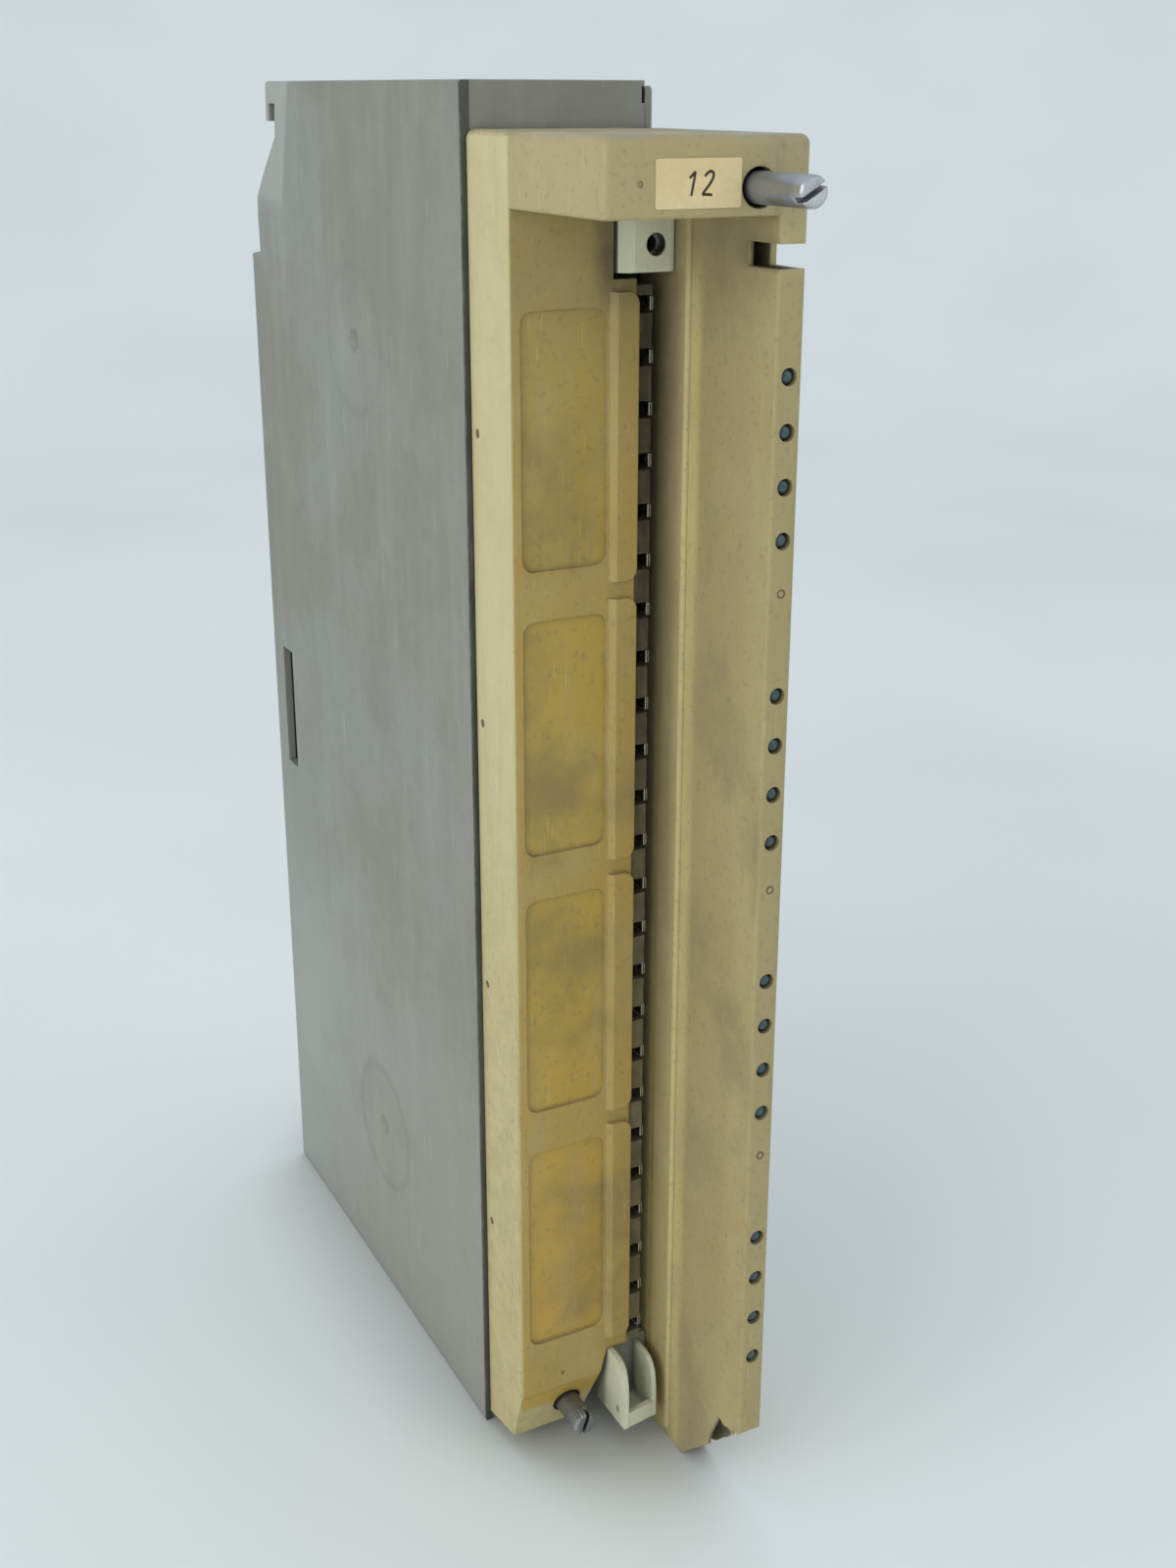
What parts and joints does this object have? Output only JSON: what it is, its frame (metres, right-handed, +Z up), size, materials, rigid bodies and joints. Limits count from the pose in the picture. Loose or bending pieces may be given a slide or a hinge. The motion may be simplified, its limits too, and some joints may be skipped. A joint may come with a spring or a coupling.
{
  "type": "rack plug-in output module",
  "caption": "Flat industrial controller module with a deep front frame for a wiring plug, status lamps, label pockets and captive fixing screws.",
  "frame": {"origin": "middle of the housing's flat base, on the surface it stands on", "axes": "+Z up along the module's height, +X to the right across its thin width seen from the front, +Y from the front frame to the rack side"},
  "size_m": [0.0421, 0.2128, 0.303],
  "materials": {
    "housing_grey": "fine moulded texture, warm grey",
    "frame_beige": "moulded plastic, yellowed and dirty",
    "strip_tan": "moulded plastic, dusty",
    "fitting_grey": "moulded plastic, pale grey-green",
    "label_paper": "aged paper sticker",
    "screw_zinc": "dull zinc, turned",
    "zinc_steel": "zinc plated",
    "contact_metal": "tinned, satin",
    "lamp_lens": "dark tinted lens",
    "board_green": "lacquered glass-fibre board",
    "connector_black": "moulded black",
    "chip_black": "moulded black",
    "sink_aluminium": "extruded, plain",
    "fuse_glass": "clear tube",
    "clip_brass": "spring brass",
    "coupler_white": "moulded off-white",
    "capacitor_blue": "sleeved can",
    "network_red": "dipped resin"
  },
  "bodies": {
    "module": {"housing_shell": "housing_grey", "side_cover": "housing_grey", "cover_screws": "zinc_steel", "front_frame": "frame_beige", "frame_pins": "zinc_steel", "address_label": "label_paper", "contact_strip": "strip_tan", "contact_blades": "contact_metal", "lock_block": "fitting_grey", "lock_insert": "contact_metal", "pivot_bracket": "fitting_grey", "circuit_board": "board_green", "indicator_lamps": "lamp_lens", "backplane_connector": "connector_black", "backplane_contacts": "contact_metal", "heat_sink": "sink_aluminium", "power_transistors": "chip_black", "transistor_screws": "zinc_steel", "fuses": "fuse_glass", "fuse_caps": "contact_metal", "fuse_clips": "clip_brass", "optocouplers": "coupler_white", "logic_chips": "chip_black", "filter_capacitors": "capacitor_blue", "resistor_networks": "network_red", "clamp_diodes": "chip_black"},
    "top_ring": {"retaining_ring_top": "zinc_steel"},
    "top_screw": {"captive_screw_top": "screw_zinc"},
    "bottom_ring": {"retaining_ring_bottom": "zinc_steel"},
    "bottom_screw": {"captive_screw_bottom": "screw_zinc"}
  },
  "joints": [
    {"name": "top_screw_slide", "type": "slide", "parent": "module", "child": "top_ring", "axis": [0, 1, 0], "range_m": [-0.0019, 0.0149]},
    {"name": "top_screw_turn", "type": "hinge", "parent": "top_ring", "child": "top_screw", "pos_m": [0.0107, -0.0616, 0.2855], "axis": [0, 1, 0], "continuous": true},
    {"name": "bottom_screw_slide", "type": "slide", "parent": "module", "child": "bottom_ring", "axis": [0, 1, 0], "range_m": [-0.0019, 0.0119]},
    {"name": "bottom_screw_turn", "type": "hinge", "parent": "bottom_ring", "child": "bottom_screw", "pos_m": [-0.0071, -0.0616, 0.0125], "axis": [0, 1, 0], "continuous": true}
  ]
}
